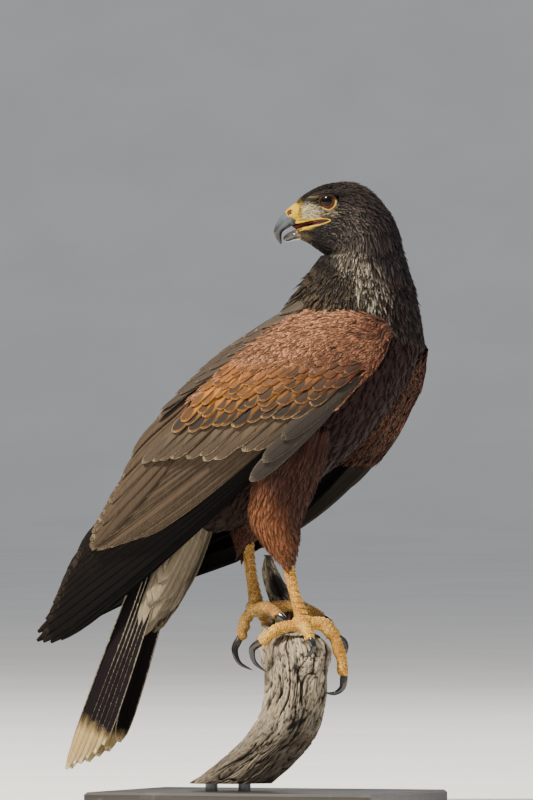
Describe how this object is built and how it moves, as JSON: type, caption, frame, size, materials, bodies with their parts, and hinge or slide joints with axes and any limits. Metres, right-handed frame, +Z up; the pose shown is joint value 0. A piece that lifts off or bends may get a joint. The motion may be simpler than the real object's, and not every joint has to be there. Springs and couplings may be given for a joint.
{
  "type": "harris's hawk",
  "caption": "Life-size Harris's hawk, a still museum-like model, gripping a short length of weathered branch on a plain stand and looking back over its right wing.",
  "frame": {"origin": "centre of the stand base's underside", "axes": "+Z up; the breast faces -Y and the bird's left side is +X"},
  "size_m": [0.18, 0.3235, 0.4936],
  "materials": {
    "plumage_body": "matt dark brown feathers with fine pale edges",
    "plumage_wing": "grey-brown and rufous feathers, matt",
    "plumage_tail": "black-brown feathers with a white band and tip",
    "plumage_thigh": "soft rufous feathers",
    "cere_skin": "bare yellow skin, slightly waxy",
    "bill_horn": "polished horn, blue-grey to black",
    "eye": "wet dark red-brown eye",
    "leg_skin": "yellow scaled skin",
    "claw_horn": "polished black horn",
    "weathered_wood": "grey weathered, deeply cracked",
    "stand_paint": "satin black"
  },
  "bodies": {
    "root": {"torso": "plumage_body", "neck": "plumage_body", "head": "plumage_body", "cere": "cere_skin", "bill_upper": "bill_horn", "bill_lower": "bill_horn", "eye_left": "eye", "eye_right": "eye", "wing_right": "plumage_wing", "wing_left": "plumage_wing", "tail": "plumage_tail", "thigh_right": "plumage_thigh", "tarsus_right": "leg_skin", "foot_right": "leg_skin", "claw_right_hind": "claw_horn", "claw_right_inner": "claw_horn", "claw_right_middle": "claw_horn", "claw_right_outer": "claw_horn", "thigh_left": "plumage_thigh", "tarsus_left": "leg_skin", "foot_left": "leg_skin", "claw_left_hind": "claw_horn", "claw_left_inner": "claw_horn", "claw_left_middle": "claw_horn", "claw_left_outer": "claw_horn", "perch": "weathered_wood", "stand_base": "stand_paint", "stand_rod_front": "stand_paint", "stand_rod_back": "stand_paint"}
  },
  "joints": []
}
